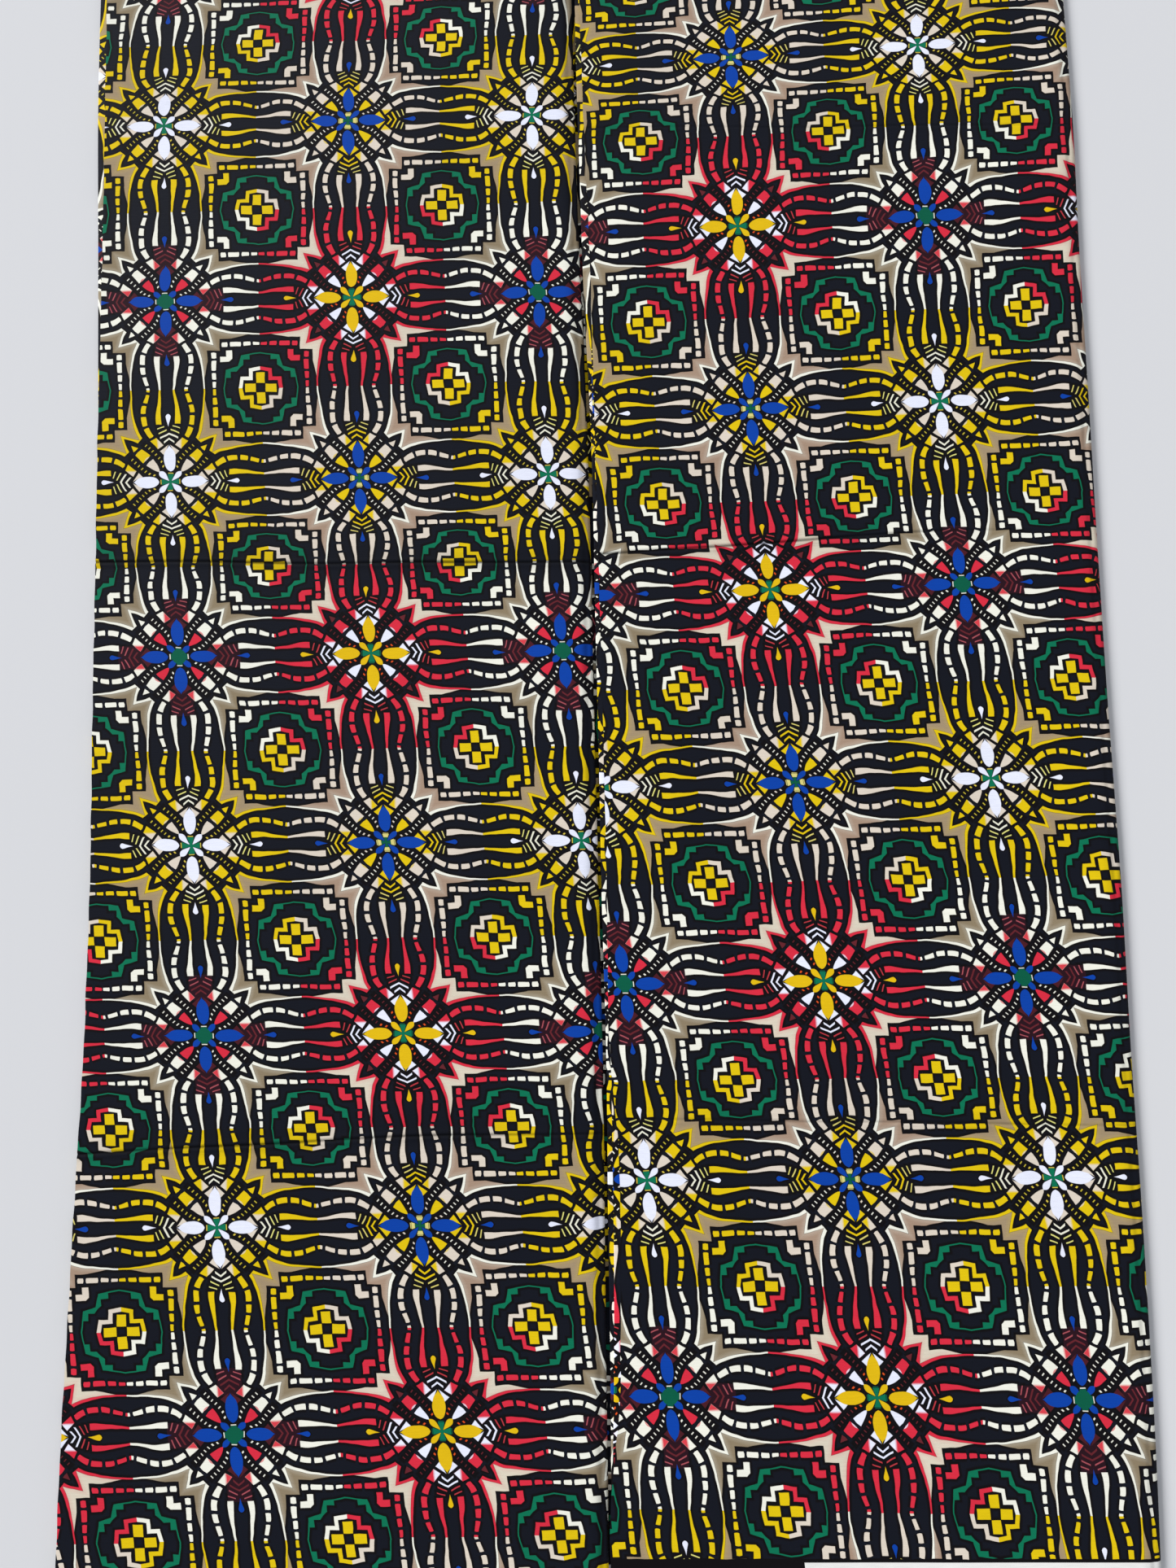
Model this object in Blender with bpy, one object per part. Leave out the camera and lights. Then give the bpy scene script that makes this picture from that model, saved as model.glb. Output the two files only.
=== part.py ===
"""One long piece of printed cotton, fan-folded into leaves and opened like a book.

The leaves lie in two flat stacks side by side. The bottom leaf runs under both stacks, so all of
it is one cloth. Each stack has its folded leaves packed on that, and one top leaf, whose left end is
the cut edge of the cloth and whose right end rolls over into the fold.

X runs along the cloth's length, leaf after leaf, and Y from selvage to selvage. The cloth lies on
z = 0, with the origin at the middle of the floor it covers. Metres.
"""

import math
from collections import namedtuple

import bmesh
import bpy

MM = 0.001

# The cloth, selvage to selvage, and how far the right stack lies above the left one
CLOTH_WIDTH = 1.180
RIGHT_LAG = 0.0262
# The wall that stands for one or two thicknesses of cloth, and the gap between two pieces
WALL = 0.0012
GAP = 0.0003
# The folds that are packed between the bottom leaf and the top one
FOLD_THICKNESS = 0.0013

BASE_TOP = WALL
PACK_BOTTOM = BASE_TOP + GAP
FOLDS = 3
PACK_TOP = PACK_BOTTOM + FOLDS * FOLD_THICKNESS
LEAF_BOTTOM = PACK_TOP + GAP
LEAF_MIDDLE = LEAF_BOTTOM + WALL / 2

# A crease across a stack: where it meets the stack's left and right side, how far its two soft
# shoulders stand up, how wide they are, and how much cloth it takes up. Millimetres.
Crease = namedtuple("Crease", "y_left y_right shoulder half_width taken")
LEFT_CREASES = (
    Crease(y_left=106, y_right=106, shoulder=0.7, half_width=15, taken=4.4),
    Crease(y_left=-299, y_right=-293, shoulder=0.5, half_width=18, taken=10.1),
)
RIGHT_CREASES = (
    Crease(y_left=115, y_right=109, shoulder=0.8, half_width=14, taken=0.4),
    Crease(y_left=-284, y_right=-288, shoulder=0.4, half_width=16, taken=2.1),
)

# Where each long edge lies, at places along the width. Millimetres, y then x.
# left_under and left_top: the left side of the packed leaves and of the top leaf, left stack.
# left_roll: the rolled right side of the left stack.
# right_mid and right_top: the same sides of the right stack, where two fold edges look out.
# right_roll: the rolled right side of the right stack.
Edge = namedtuple("Edge", "y left_under left_top left_roll right_mid right_top right_roll")
EDGES = (
    Edge(602, -372.5, -366.8, -18.5, -12.0, -13.0, 352.0),
    Edge(540, -372.5, -366.4, -17.5, -10.8, -11.8, 353.6),
    Edge(440, -369.8, -364.0, -14.8, -7.3, -8.3, 357.0),
    Edge(345, -366.2, -361.6, -11.8, -3.2, -4.0, 357.2),
    Edge(220, -360.6, -359.5, -6.0, -3.0, -0.6, 359.4),
    Edge(130, -356.5, -357.3, -3.4, 2.6, 1.7, 360.6),
    Edge(10, -352.5, -354.4, -1.0, 6.2, 5.2, 362.9),
    Edge(-130, -349.0, -350.5, 2.6, 9.0, 8.0, 367.0),
    Edge(-240, -348.5, -350.0, 5.2, 10.4, 9.2, 368.1),
    Edge(-300, -349.8, -351.3, 6.0, 11.1, 16.2, 369.6),
    Edge(-350, -350.7, -352.2, 6.3, 11.9, 17.0, 370.8),
    Edge(-475, -352.5, -354.0, 7.6, 12.0, 16.7, 372.5),
    Edge(-525, -352.7, -354.2, 8.4, 11.0, 9.4, 372.5),
    Edge(-602, -352.5, -354.0, 8.8, 11.0, 9.8, 372.0),
)
EDGE_EASE = 0.024

# The rolls: how far from the side the leaf starts to turn down
LEFT_ROLL_WIDTH = 0.013
RIGHT_ROLL_WIDTH = 0.009
ROLL_END = PACK_BOTTOM + WALL / 2
ROLL_DROP = LEAF_MIDDLE - ROLL_END
# Room between the two stacks, at the rolled side of the left one
STACK_GAP = 0.0006

# How far each packed fold stays back from the edge columns, lowest fold first. Millimetres.
# left: from the stack's left side. roll: from the rolled side. ends: from the selvages.
Fold = namedtuple("Fold", "left roll ends")
LEFT_FOLDS = (
    Fold(left=1.6, roll=3.0, ends=3.0),
    Fold(left=2.2, roll=5.0, ends=1.6),
    Fold(left=0.0, roll=11.0, ends=2.4),
)
RIGHT_FOLDS = (
    Fold(left=0.6, roll=3.0, ends=2.6),
    Fold(left=0.0, roll=4.6, ends=3.4),
    Fold(left=0.0, roll=8.4, ends=1.8),
)
# How far the waist between two folds lies inside the smaller one of them
WAIST = 0.0022
# A fold's nose, as (part of its thickness, part of its inset)
NOSE = ((0.18, 0.34), (0.5, 0.0), (0.82, 0.34))
NOSE_INSET = 0.0008
SIDE_STEP = 0.050
LEAF_STEP = 0.060

# The bottom leaf stays under the stacks, and slips from one to the other over this stretch
BASE_INSET = 0.0035
BASE_SLIP = 0.130
BASE_STEPS = 8


def taken(creases):
    return sum(crease.taken for crease in creases) * MM


SPAN = CLOTH_WIDTH - taken(RIGHT_CREASES) + RIGHT_LAG
LEFT_BOTTOM = -SPAN / 2
LEFT_TOP = LEFT_BOTTOM + CLOTH_WIDTH - taken(LEFT_CREASES)
RIGHT_BOTTOM = LEFT_BOTTOM + RIGHT_LAG
RIGHT_TOP = SPAN / 2


def straight(column, y):
    """x of an edge at y, on straight lines between the rows of the table."""
    above = EDGES[0]
    if y >= above.y * MM:
        return getattr(above, column) * MM
    for below in EDGES[1:]:
        if y >= below.y * MM:
            share = (y / MM - below.y) / (above.y - below.y)
            low, high = getattr(below, column), getattr(above, column)
            return (low + (high - low) * share) * MM
        above = below
    return getattr(above, column) * MM


def edge(column, y):
    """x of an edge at y, with the corners of the straight lines eased."""
    reach = (-1.0, -0.5, 0.0, 0.5, 1.0)
    return sum(straight(column, y + EDGE_EASE * part) for part in reach) / len(reach)


def shoulder(creases, x, y, left, right):
    """Height of the creases' shoulders at a point of a stack that reaches from left to right."""
    height = 0.0
    for crease in creases:
        share = (x - left) / (right - left)
        middle = (crease.y_left + (crease.y_right - crease.y_left) * share) * MM
        away = abs(y - middle) / (crease.half_width * MM)
        if away < 1:
            height += crease.shoulder * MM * math.sin(math.pi * away) ** 2
    return height


def steps(low, high, step):
    count = math.ceil((high - low) / step)
    return [low + (high - low) * i / count for i in range(count + 1)]


def rows_of(bottom, top, creases):
    """Places along the width: an even run, and closer ones over each crease."""
    rows = set(steps(bottom, top, LEAF_STEP))
    for crease in creases:
        middle = (crease.y_left + crease.y_right) / 2 * MM
        reach = crease.half_width * MM
        rows = {y for y in rows if abs(y - middle) > 1.3 * reach}
        rows |= {middle + reach * part for part in (-1, -0.75, -0.5, -0.25, 0, 0.25, 0.5, 0.75, 1)}
    return sorted(rows)


def new_object(name, mesh_data, material):
    mesh = bpy.data.meshes.new(name)
    mesh_data.to_mesh(mesh)
    mesh_data.free()
    mesh.materials.append(material)
    mesh.shade_smooth()
    mesh.set_sharp_from_angle(angle=math.radians(50))
    made = bpy.data.objects.new(name, mesh)
    bpy.context.scene.collection.objects.link(made)
    return made


def cotton(name, colour):
    """A printed cotton finish in one plain colour."""
    material = bpy.data.materials.new(name)
    material.use_nodes = True
    shader = material.node_tree.nodes["Principled BSDF"]
    shader.inputs["Base Color"].default_value = (*colour, 1.0)
    shader.inputs["Roughness"].default_value = 0.8
    shader.inputs["Metallic"].default_value = 0.0
    return material


def loft(name, rings, material):
    """A closed body through rings with the same number of points, capped at both ends."""
    body = bmesh.new()
    loops = [[body.verts.new(point) for point in ring] for ring in rings]
    count = len(rings[0])
    for lower, upper in zip(loops, loops[1:]):
        for i in range(count):
            j = (i + 1) % count
            body.faces.new((lower[i], lower[j], upper[j], upper[i]))
    body.faces.new(loops[0][::-1])
    body.faces.new(loops[-1])
    bmesh.ops.recalc_face_normals(body, faces=body.faces)
    return new_object(name, body, material)


def top_leaf(name, side, creases, bottom, top, roll_width, material):
    """The leaf that shows: a wall from its cut edge at the left to its roll at the right."""
    flat_steps, roll_steps = 9, 6
    rings = []
    for y in rows_of(bottom, top, creases):
        left = edge(side + "_top", y)
        right = edge(side + "_roll", y) - WALL / 2
        turn = right - roll_width
        middle = []
        for i in range(flat_steps):
            x = left + (turn - left) * i / flat_steps
            middle.append((x, LEAF_MIDDLE + shoulder(creases, x, y, left, right)))
        for i in range(roll_steps + 1):
            angle = math.pi / 2 * i / roll_steps
            x = turn + roll_width * math.sin(angle)
            rise = shoulder(creases, turn, y, left, right) * math.cos(angle)
            middle.append((x, ROLL_END + ROLL_DROP * math.cos(angle) + rise))
        outer, inner = [], []
        for i, (x, z) in enumerate(middle):
            before, after = middle[max(i - 1, 0)], middle[min(i + 1, len(middle) - 1)]
            along = math.atan2(after[1] - before[1], after[0] - before[0])
            across = (-math.sin(along) * WALL / 2, math.cos(along) * WALL / 2)
            outer.append((x + across[0], y, z + across[1]))
            inner.append((x - across[0], y, z - across[1]))
        rings.append(outer + inner[::-1])
    return loft(name, rings, material)


def side_points(column, low, high, shift):
    """Points up a long side, moved by shift along X."""
    return [(edge(column, y) + shift, y) for y in steps(low, high, SIDE_STEP)]


def fold_outline(side, fold, bottom, top, level, inset):
    """Plan of one packed fold, drawn in by inset all round. The lower folds of the right stack
    reach the rolled side of the left one."""
    low, high = bottom + fold.ends * MM + inset, top - fold.ends * MM - inset
    if side == "left":
        column, shift = "left_under", fold.left * MM
    elif level == FOLDS - 1:
        column, shift = "right_mid", fold.left * MM
    else:
        column, shift = "left_roll", fold.left * MM + STACK_GAP
    left_side = side_points(column, low, high, shift + inset)
    right_side = side_points(side + "_roll", low, high, -fold.roll * MM - inset)
    return right_side + left_side[::-1]


def packed_leaves(name, side, folds, bottom, top, material):
    """The folded leaves under the top one as one body, with a rounded nose for each fold."""
    outlines = []
    for level, fold in enumerate(folds):
        base = PACK_BOTTOM + level * FOLD_THICKNESS
        if level:
            outlines.append((base, waist_outline(side, folds, level, bottom, top)))
        else:
            outlines.append((base, fold_outline(side, fold, bottom, top, level, NOSE_INSET)))
        for height, part in NOSE:
            plan = fold_outline(side, fold, bottom, top, level, NOSE_INSET * part)
            outlines.append((base + height * FOLD_THICKNESS, plan))
    last = len(folds) - 1
    outlines.append((PACK_TOP, fold_outline(side, folds[-1], bottom, top, last, NOSE_INSET)))
    rings = [[(x, y, z) for x, y in plan] for z, plan in outlines]
    return loft(name, rings, material)


def waist_outline(side, folds, level, bottom, top):
    """Plan of the groove between a fold and the one below it, inside both of them."""
    below = fold_outline(side, folds[level - 1], bottom, top, level - 1, WAIST)
    above = fold_outline(side, folds[level], bottom, top, level, WAIST)
    half = len(above) // 2
    waist = []
    for i, ((x1, y1), (x2, y2)) in enumerate(zip(below, above)):
        x = min(x1, x2) if i < half else max(x1, x2)
        y = min(y1, y2, key=abs)
        waist.append((x, y))
    return waist


def base_outline(inset):
    """Plan of the bottom leaf. Its selvages slip from one stack to the other under the cloth that
    covers them: the lower one under the left stack and the upper one under the right stack."""
    back = BASE_INSET + inset
    left_low, left_high = LEFT_BOTTOM + back, LEFT_TOP - back
    right_low, right_high = RIGHT_BOTTOM + back, RIGHT_TOP - back
    left_side = side_points("left_top", left_low, left_high, back)
    right_side = side_points("right_roll", right_low, right_high, -back)
    lower, upper = [], []
    for i in range(BASE_STEPS + 1):
        ease = (1 - math.cos(math.pi * i / BASE_STEPS)) / 2
        place = BASE_SLIP * i / BASE_STEPS
        lower.append((place - BASE_SLIP - STACK_GAP, left_low + (right_low - left_low) * ease))
        upper.append((place + 0.02, left_high + (right_high - left_high) * ease))
    return lower + right_side + upper[::-1] + left_side[::-1]


def bottom_leaf(name, material):
    rings = []
    for height, inset in ((0.0, 0.25), (0.3, 0.0), (0.7, 0.0), (1.0, 0.25)):
        rings.append([(x, y, height * WALL) for x, y in base_outline(inset * WALL)])
    return loft(name, rings, material)


for leftover in list(bpy.data.objects):
    bpy.data.objects.remove(leftover, do_unlink=True)

bottom_leaf("bottom_leaf", cotton("bottom leaf cotton", (0.060, 0.052, 0.045)))
packed_leaves(
    "left_packed_leaves", "left", LEFT_FOLDS, LEFT_BOTTOM, LEFT_TOP,
    cotton("left packed cotton", (0.100, 0.080, 0.040)),
)
packed_leaves(
    "right_packed_leaves", "right", RIGHT_FOLDS, RIGHT_BOTTOM, RIGHT_TOP,
    cotton("right packed cotton", (0.120, 0.090, 0.035)),
)
top_leaf(
    "left_top_leaf", "left", LEFT_CREASES, LEFT_BOTTOM, LEFT_TOP, LEFT_ROLL_WIDTH,
    cotton("left top cotton", (0.130, 0.105, 0.060)),
)
top_leaf(
    "right_top_leaf", "right", RIGHT_CREASES, RIGHT_BOTTOM, RIGHT_TOP, RIGHT_ROLL_WIDTH,
    cotton("right top cotton", (0.140, 0.110, 0.055)),
)
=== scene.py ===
"""One long piece of wax-print cotton, fan-folded into leaves and opened like a book.

The print is drawn by formulas on the cloth's own measure, in pitches of its repeat, so it follows
each leaf over its rolls and folds. Metres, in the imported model's frame.
"""

import math

import bpy
import numpy as np
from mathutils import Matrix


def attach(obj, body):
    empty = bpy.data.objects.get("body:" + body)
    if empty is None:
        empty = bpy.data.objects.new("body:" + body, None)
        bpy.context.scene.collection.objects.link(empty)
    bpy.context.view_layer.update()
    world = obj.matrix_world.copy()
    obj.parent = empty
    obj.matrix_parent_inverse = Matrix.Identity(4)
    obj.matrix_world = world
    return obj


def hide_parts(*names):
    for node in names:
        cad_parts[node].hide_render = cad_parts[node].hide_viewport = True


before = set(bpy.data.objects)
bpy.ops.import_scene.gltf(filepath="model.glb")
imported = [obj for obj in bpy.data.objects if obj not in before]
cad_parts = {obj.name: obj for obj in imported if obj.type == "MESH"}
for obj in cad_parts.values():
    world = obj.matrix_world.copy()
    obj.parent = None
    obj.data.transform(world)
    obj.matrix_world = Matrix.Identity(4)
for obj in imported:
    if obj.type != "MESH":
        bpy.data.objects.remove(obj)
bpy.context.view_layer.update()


# The printed cotton. A plain-woven cotton, dyed near black and printed with a traditional pattern
# of southern Angola: flowers of four petals whose lanes meet halfway, and a cross in a stepped ring
# between each four of them. Wax print goes through the cloth, so both sides look alike.

# How far one flower is from the next, in metres
PITCH = 0.1367

GROUND, LINE_BLACK = "10131D", "0B080B"
YELLOW, CREAM, STONE, RED = "DFC00A", "EFEEE0", "DCD0C0", "D62C40"
WHITE, BLUE, GREEN, DARK_GREEN = "E8EBFA", "0640A2", "067050", "045A42"
DARK_RED, DULL_RED, OLIVE, ORANGE = "64232A", "B83840", "C9B93A", "E2551E"

# How the four kinds of flower are inked, in the order of the rows: the odd rows hold the yellow
# and the stone flower, the even rows the cream and the red one.
LANES = (YELLOW, STONE, CREAM, RED)
OUTLINES = (YELLOW, CREAM, CREAM, RED)
LANE_ROOTS = (STONE, YELLOW, "D8404A", WHITE)
PETALS = (WHITE, BLUE, BLUE, "E0B810")
KITES = (STONE, YELLOW, RED, WHITE)
PETAL_TIPS = (STONE, YELLOW, "4A1A22", WHITE)
LEAF_TIPS = (YELLOW, STONE, CREAM, DARK_RED)
TICKS = (OLIVE, CREAM, CREAM, DARK_RED)
CHEVRONS = ("E9E8D4", YELLOW, DARK_RED, WHITE)
STROKES = ("DEDA7E", "D8CC70", "A85058", DULL_RED)
STARS = ("A08C6E", "A58C78", "8C7D64", "D7CDB9")
HEARTS = (GREEN, DARK_GREEN, DARK_GREEN, GREEN)
HEART_ARMS = (GREEN, "D8CE7C", DARK_GREEN, GREEN)
FRINGES = ("D9C34A", STONE, CREAM, ORANGE)
HEART_TIPS = ("D9C34A", "D8CE7C", CREAM, DARK_GREEN)


def linear(colour):
    """A colour written as red, green and blue in hex, as the linear values that a node takes."""
    parts = [int(colour[i:i + 2], 16) / 255 for i in (0, 2, 4)]
    return [p / 12.92 if p <= 0.04045 else ((p + 0.055) / 1.055) ** 2.4 for p in parts] + [1.0]


class Number:
    """A value in the print's node tree. Sums with it add the nodes that work them out."""

    tree = None

    def __init__(self, socket):
        self.socket = socket

    def __add__(self, other):
        return sum_node("ADD", self, other)

    def __sub__(self, other):
        return sum_node("SUBTRACT", self, other)

    def __rsub__(self, other):
        return sum_node("SUBTRACT", other, self)

    def __mul__(self, other):
        return sum_node("MULTIPLY", self, other)

    __radd__, __rmul__ = __add__, __mul__


def sum_node(operation, *values, clamp=False):
    """One node that works out a sum of numbers and of values of the print."""
    node = Number.tree.nodes.new("ShaderNodeMath")
    node.operation = operation
    node.use_clamp = clamp
    for socket, value in zip(node.inputs, values):
        if isinstance(value, Number):
            Number.tree.links.new(value.socket, socket)
        else:
            socket.default_value = value
    return Number(node.outputs[0])


def size_of(value):
    return sum_node("ABSOLUTE", value)


def both(first, *others):
    """Where all of the shapes are: a shape is a distance, below zero inside it."""
    for other in others:
        first = sum_node("MAXIMUM", first, other)
    return first


def either(first, *others):
    """Where any of the shapes is."""
    for other in others:
        first = sum_node("MINIMUM", first, other)
    return first


def between(low, value, high):
    """A shape that reaches from a low value to a high one."""
    return size_of(value - (low + high) / 2) - (high - low) / 2


def corners(m, n, *points):
    """A plain shape with straight sides, from its corners, anticlockwise in (m, n)."""
    sides = []
    for (m1, n1), (m2, n2) in zip(points, points[1:] + points[:1]):
        length = math.hypot(m2 - m1, n2 - n1)
        out = ((n2 - n1) / length, -(m2 - m1) / length)
        part = sum_node("MULTIPLY_ADD", m, out[0], -(m1 * out[0] + n1 * out[1]))
        sides.append(sum_node("MULTIPLY_ADD", n, out[1], part))
    return both(*sides)


def drawn(value, points, straight=False):
    """A line drawn through points over 0 to 0.5: its height at a value."""
    node = Number.tree.nodes.new("ShaderNodeFloatCurve")
    node.mapping.use_clip = False
    line = node.mapping.curves[0]
    # The node's own line goes from 0 to 1, so the drawn one is stretched to fill it
    while len(line.points) < len(points):
        line.points.new(0.5, 0.5)
    for point, (x, y) in zip(line.points, points):
        point.location = (x * 2, y * 4)
        point.handle_type = "VECTOR" if straight else "AUTO"
    node.mapping.update()
    Number.tree.links.new((value * 2).socket, node.inputs["Value"])
    return Number(node.outputs[0]) * 0.25


# The edge of an ink: how wide it fades out, in pitches, and how much of it lies right on the line
FADE_WIDTH, INK_ON_LINE = 0.0022, 0.22


def inked(shape):
    """How much ink a place has: all inside the shape, none outside, and a soft edge between."""
    return sum_node("MULTIPLY_ADD", shape, -1 / FADE_WIDTH, INK_ON_LINE, clamp=True)


def noise(where, scale, detail):
    node = Number.tree.nodes.new("ShaderNodeTexNoise")
    node.inputs["Scale"].default_value = scale
    node.inputs["Detail"].default_value = detail
    Number.tree.links.new(where, node.inputs["Vector"])
    return node


def mixed(share, low, high):
    """Two inks mixed, the share being that of the second one."""
    node = Number.tree.nodes.new("ShaderNodeMix")
    node.data_type = "RGBA"
    for socket, value in zip((node.inputs[0], node.inputs[6], node.inputs[7]), (share, low, high)):
        if isinstance(value, Number):
            Number.tree.links.new(value.socket, socket)
        elif isinstance(value, str):
            socket.default_value = linear(value)
        else:
            socket.default_value = value
    return Number(node.outputs[2])


def by_kind(kinds, odd_column, odd_row):
    """The ink that a shape takes in the four kinds of flower."""
    upper = mixed(odd_column, kinds[0], kinds[1])
    lower = mixed(odd_column, kinds[2], kinds[3])
    return mixed(odd_row, lower, upper)


def printed_cotton(name):
    """The cotton with its print, which is worked out from the map that holds the cloth's measure."""
    material = bpy.data.materials.new(name)
    material.use_nodes = True
    tree = Number.tree = material.node_tree
    nodes, links = tree.nodes, tree.links
    place = nodes.new("ShaderNodeUVMap")
    place.uv_map = "print"

    # The block's lines wander a little, as a hand cut them
    stray = 0.02
    wander = noise(place.outputs["UV"], scale=7.0, detail=2.0)
    spread = nodes.new("ShaderNodeVectorMath")
    spread.operation = "MULTIPLY_ADD"
    spread.inputs[1].default_value = (stray, stray, 0)
    links.new(wander.outputs["Color"], spread.inputs[0])
    links.new(place.outputs["UV"], spread.inputs[2])
    split = nodes.new("ShaderNodeSeparateXYZ")
    links.new(spread.outputs["Vector"], split.inputs[0])
    u, v = Number(split.outputs[0]) - stray / 2, Number(split.outputs[1]) - stray / 2

    # The nearest flower, and the place in it, folded over its axes and its diagonals
    column, row = sum_node("FLOOR", u + 0.5), sum_node("FLOOR", v + 0.5)
    odd_column = sum_node("FLOORED_MODULO", column, 2.0)
    odd_row = sum_node("FLOORED_MODULO", row, 2.0)
    a, b = size_of(u - column), size_of(v - row)
    m, n = sum_node("MAXIMUM", a, b), sum_node("MINIMUM", a, b)
    d, e = (m + n) * math.sqrt(0.5), (m - n) * math.sqrt(0.5)

    # The star behind the flower, and the outline that runs round the leaves and along the lanes
    lane_side = drawn(m, ((0, 0.10), (0.2, 0.140), (0.225, 0.155), (0.25, 0.166), (0.28, 0.177),
                          (0.31, 0.184), (0.36, 0.192), (0.44, 0.199), (0.5, 0.201)))
    lane_line = drawn(m, ((0, 0.027), (0.2, 0.027), (0.225, 0.023), (0.25, 0.018), (0.31, 0.0145),
                          (0.36, 0.0115), (0.44, 0.0095), (0.5, 0.008)))
    leaf_side = drawn(n, ((0, 0.130), (0.134, 0.190), (0.155, 0.2055), (0.175, 0.2165),
                          (0.192, 0.2245), (0.215, 0.2315), (0.236, 0.236), (0.3, 0.245)))
    beyond_lane = lane_side - n
    star_field = both(beyond_lane, 0.228 - 0.155 * 0.27 - (m - 0.27 * n))
    outline = both(beyond_lane - lane_line, leaf_side - m, 0.0 - star_field)
    outline = both(outline, 0.358 - 0.9 * m - n)
    star_step = either(m - 0.286, both(n - 0.218, 0.2 * m + n - 0.288))
    star = both(star_field, star_step)

    # The lanes: a string of blocks, a pair of tusks and a drop between them
    lane_middle = drawn(m, ((0, 0.0), (0.208, 0.066), (0.242, 0.090), (0.267, 0.107),
                            (0.291, 0.1185), (0.320, 0.1265), (0.357, 0.129), (0.395, 0.1275),
                            (0.4315, 0.119), (0.475, 0.107), (0.5, 0.102)))
    lane_turn = drawn(m, ((0, 0.45), (0.2, 0.45), (0.29, 0.38), (0.306, 0.22), (0.357, 0.04),
                          (0.415, -0.10), (0.45, -0.15), (0.5, -0.10)))
    aside = n - lane_middle
    along = m + lane_turn * aside
    gap, step = -0.01, 0.002
    string = [(0, gap)]
    for start, end, first, last in ((0.244, 0.291, 0.0160, 0.0160), (0.306, 0.357, 0.0140, 0.0135),
                                    (0.374, 0.414, 0.0135, 0.0128), (0.430, 0.475, 0.0118, 0.0105),
                                    (0.490, 0.510, 0.0095, 0.0095)):
        string += [(start - step, gap), (start, first), (end, last), (end + step, gap)]
    blocks = size_of(aside) - drawn(along, string[:-1], straight=True)
    root = corners(m, n, (0.200, 0.031), (0.240, 0.068), (0.222, 0.101), (0.178, 0.063))
    tusks = size_of(n - drawn(m, ((0, 0.05), (0.31, 0.050), (0.34, 0.0515), (0.37, 0.051),
                                  (0.44, 0.044), (0.5, 0.0375))))
    tusks = both(0.312 - m, tusks - drawn(m, ((0, 0.0155), (0.31, 0.0155), (0.34, 0.0155),
                                              (0.37, 0.0130), (0.44, 0.0080), (0.5, 0.0055))))
    drop = n - drawn(m, ((0, gap), (0.294, gap), (0.298, 0), (0.32, 0.005), (0.345, 0.0125),
                         (0.354, 0.0138), (0.362, 0.009), (0.367, -0.002), (0.372, gap)),
                     straight=True)
    chevrons = either(both(size_of(0.75 * n + m - 0.236) - 0.0055, n - 0.028),
                      both(size_of(0.52 * n + m - 0.262) - 0.0052, n - 0.047))
    strokes = either(both(size_of(0.49 * n + m - 0.288) - 0.0040, between(0.010, n, 0.053)),
                     both(size_of(0.34 * n + m - 0.3085) - 0.0034, between(0.021, n, 0.060)))

    # The leaf on the diagonal: a kite, a square and a tip, with a ladder of ticks at its side
    leaf = [(0, gap), (0.078, gap), (0.080, 0.001), (0.090, 0.0080), (0.105, 0.0140),
            (0.120, 0.0185), (0.140, 0.0225), (0.153, 0.0245), (0.156, gap),
            (0.171, gap), (0.1735, 0.0270), (0.231, 0.0225), (0.234, gap),
            (0.247, gap), (0.250, 0.0160), (0.284, 0.0), (0.287, gap)]
    in_leaf = e - drawn(d, leaf, straight=True)
    kite, tip = both(in_leaf, d - 0.16), both(in_leaf, 0.24 - d)
    square = both(in_leaf, between(0.16, d, 0.24))
    ladder_side = drawn(d, ((0, 0.026), (0.062, 0.026), (0.086, 0.033), (0.110, 0.0450),
                            (0.135, 0.0500), (0.165, 0.0520), (0.25, 0.050)))
    rung = size_of(sum_node("FRACT", (d - 0.0742) * (1 / 0.0235)) - 0.5) * 0.0235
    off_side = size_of(e - ladder_side)
    ladder = both(rung - 0.0030, off_side - 0.0080, between(0.124, d, 0.240))
    fringe = both(rung - 0.0042, off_side - 0.0062, between(0.07, d, 0.124))

    # The petals, their tips and fringe, and the heart of the flower
    petals = n - drawn(m, ((0, gap), (0.055, gap), (0.059, 0.005), (0.065, 0.0145), (0.075, 0.0220),
                           (0.09, 0.0280), (0.11, 0.0315), (0.13, 0.0320), (0.148, 0.0300),
                           (0.163, 0.0255), (0.176, 0.0180), (0.187, 0.0085), (0.193, 0.0030),
                           (0.202, 0.0), (0.207, gap)), straight=True)
    petal_tips = corners(m, n, (0.146, 0.030), (0.203, 0.004), (0.167, 0.0525))
    small_petals = e - drawn(d, ((0, gap), (0.004, gap), (0.01, 0.001), (0.03, 0.0085),
                                 (0.048, 0.0145), (0.060, 0.0158), (0.070, 0.0130), (0.078, 0.0065),
                                 (0.083, 0.0), (0.087, gap)), straight=True)
    heart = both(n - 0.3 * m - 0.004, m - 0.044)
    heart_round = sum_node("SQRT", m * m + n * n) - 0.040
    heart_tips = both(between(0.045, m, 0.0505), n - 0.014)

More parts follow.
